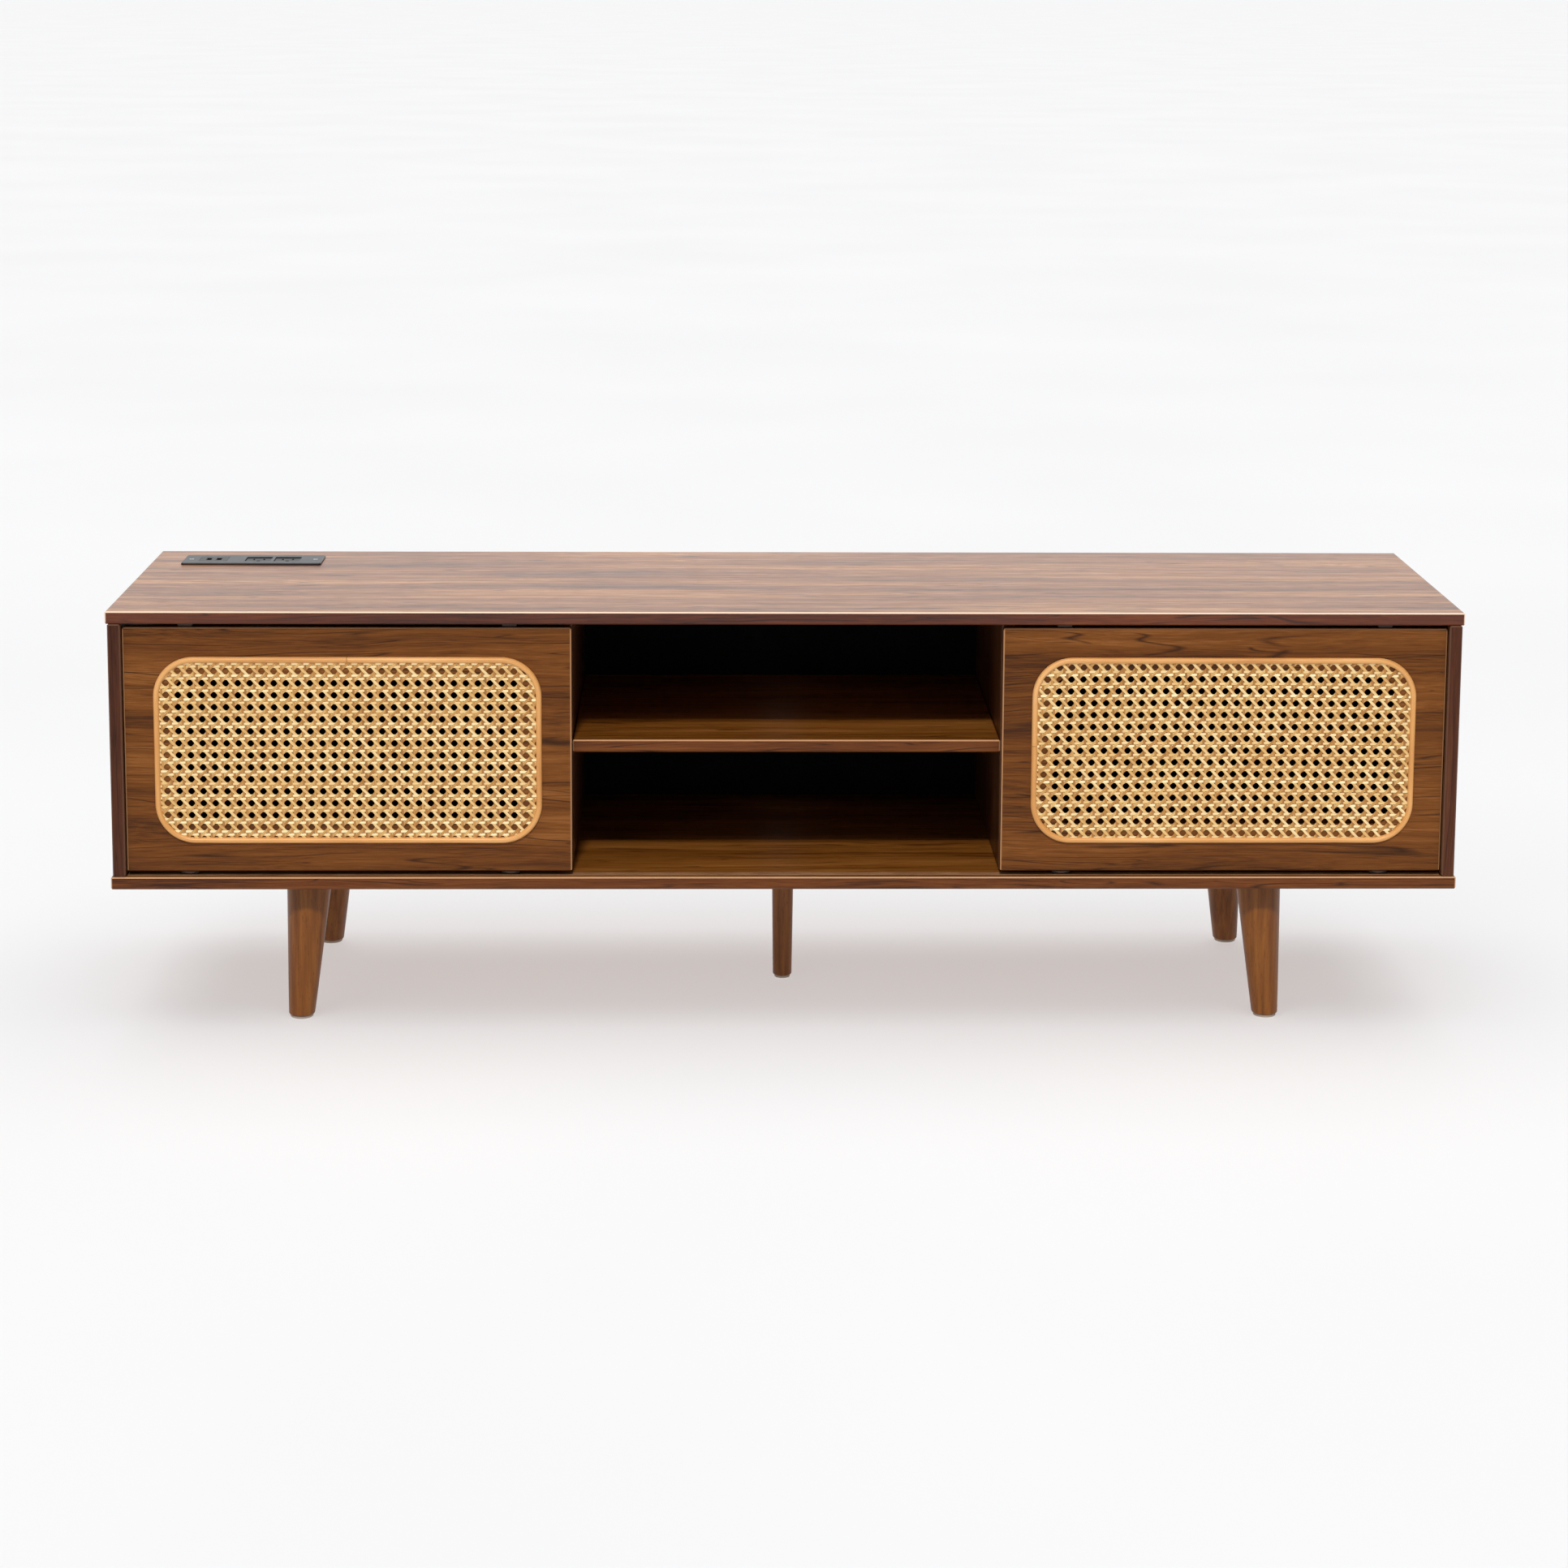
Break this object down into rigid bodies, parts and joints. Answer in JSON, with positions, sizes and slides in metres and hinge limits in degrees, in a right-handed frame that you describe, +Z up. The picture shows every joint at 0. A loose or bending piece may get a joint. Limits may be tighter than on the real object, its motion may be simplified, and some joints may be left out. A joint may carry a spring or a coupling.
{
  "type": "media cabinet",
  "caption": "Low media cabinet on splayed turned legs, with sliding cane-panel doors either side of an open shelved bay and a power strip let into the top.",
  "frame": {"origin": "on the floor, under the middle of the cabinet", "axes": "+Z up; the doors face -Y; +X runs along the cabinet to the right of a person who faces the doors"},
  "size_m": [1.6, 0.4, 0.5085],
  "materials": {
    "walnut_laminate": "walnut-pattern laminate, satin",
    "stained_rubberwood": "walnut-stained, satin lacquer",
    "black_hardboard": "painted matt",
    "cane_webbing": "natural woven cane",
    "rattan_reed": "natural, lightly polished",
    "brown_nylon": "moulded",
    "dark_nylon": "moulded",
    "grey_abs": "fine moulded texture",
    "pale_polyethylene": "moulded",
    "zinc_plated_steel": "zinc plated"
  },
  "bodies": {
    "cabinet": {"top_panel": "walnut_laminate", "bottom_panel": "walnut_laminate", "left_side_panel": "walnut_laminate", "right_side_panel": "walnut_laminate", "left_divider": "walnut_laminate", "right_divider": "walnut_laminate", "middle_shelf": "walnut_laminate", "back_panel_left": "black_hardboard", "back_panel_middle": "black_hardboard", "back_panel_right": "black_hardboard", "lower_track": "brown_nylon", "upper_track": "brown_nylon", "leg_front_left": "stained_rubberwood", "leg_front_right": "stained_rubberwood", "leg_rear_left": "stained_rubberwood", "leg_rear_right": "stained_rubberwood", "leg_center": "stained_rubberwood", "leg_front_left_plate": "zinc_plated_steel", "leg_front_right_plate": "zinc_plated_steel", "leg_rear_left_plate": "zinc_plated_steel", "leg_rear_right_plate": "zinc_plated_steel", "leg_center_plate": "zinc_plated_steel", "leg_front_left_glide": "pale_polyethylene", "leg_front_right_glide": "pale_polyethylene", "leg_rear_left_glide": "pale_polyethylene", "leg_rear_right_glide": "pale_polyethylene", "leg_center_glide": "pale_polyethylene", "power_strip_bezel": "grey_abs", "power_strip_housing": "grey_abs", "power_strip_gland": "dark_nylon", "outlet_1": "dark_nylon", "outlet_2": "dark_nylon", "usb_module": "dark_nylon", "bezel_screw_1": "zinc_plated_steel", "bezel_screw_2": "zinc_plated_steel"},
    "left_door": {"left_door_panel": "walnut_laminate", "left_door_cane": "cane_webbing", "left_door_reed": "rattan_reed", "left_door_guide_left": "brown_nylon", "left_door_guide_right": "brown_nylon", "left_door_roller_left_housing": "brown_nylon", "left_door_roller_right_housing": "brown_nylon", "left_door_roller_left_axle": "zinc_plated_steel", "left_door_roller_right_axle": "zinc_plated_steel"},
    "left_door_wheel_left": {"left_door_roller_left_wheel": "dark_nylon"},
    "left_door_wheel_right": {"left_door_roller_right_wheel": "dark_nylon"},
    "right_door": {"right_door_panel": "walnut_laminate", "right_door_cane": "cane_webbing", "right_door_reed": "rattan_reed", "right_door_guide_left": "brown_nylon", "right_door_guide_right": "brown_nylon", "right_door_roller_left_housing": "brown_nylon", "right_door_roller_right_housing": "brown_nylon", "right_door_roller_left_axle": "zinc_plated_steel", "right_door_roller_right_axle": "zinc_plated_steel"},
    "right_door_wheel_left": {"right_door_roller_left_wheel": "dark_nylon"},
    "right_door_wheel_right": {"right_door_roller_right_wheel": "dark_nylon"}
  },
  "joints": [
    {"name": "left_door_slide", "type": "slide", "parent": "cabinet", "child": "left_door", "axis": [1, 0, 0], "range_m": [0, 0.2535]},
    {"name": "right_door_slide", "type": "slide", "parent": "cabinet", "child": "right_door", "axis": [-1, 0, 0], "range_m": [0, 0.2535]},
    {"name": "left_door_wheel_left_spin", "type": "hinge", "parent": "left_door", "child": "left_door_wheel_left", "pos_m": [-0.7085, -0.1845, 0.1938], "axis": [0, 1, 0], "range_deg": [0, 1170]},
    {"name": "left_door_wheel_right_spin", "type": "hinge", "parent": "left_door", "child": "left_door_wheel_right", "pos_m": [-0.328, -0.1845, 0.1938], "axis": [0, 1, 0], "range_deg": [0, 1170]},
    {"name": "right_door_wheel_left_spin", "type": "hinge", "parent": "right_door", "child": "right_door_wheel_left", "pos_m": [0.328, -0.1845, 0.1938], "axis": [0, -1, 0], "range_deg": [0, 1170]},
    {"name": "right_door_wheel_right_spin", "type": "hinge", "parent": "right_door", "child": "right_door_wheel_right", "pos_m": [0.7085, -0.1845, 0.1938], "axis": [0, -1, 0], "range_deg": [0, 1170]}
  ],
  "couplings": [
    {"joint": "left_door_wheel_left_spin", "follows": "left_door_slide", "rad_per_m": 80},
    {"joint": "left_door_wheel_right_spin", "follows": "left_door_slide", "rad_per_m": 80},
    {"joint": "right_door_wheel_left_spin", "follows": "right_door_slide", "rad_per_m": 80},
    {"joint": "right_door_wheel_right_spin", "follows": "right_door_slide", "rad_per_m": 80}
  ]
}
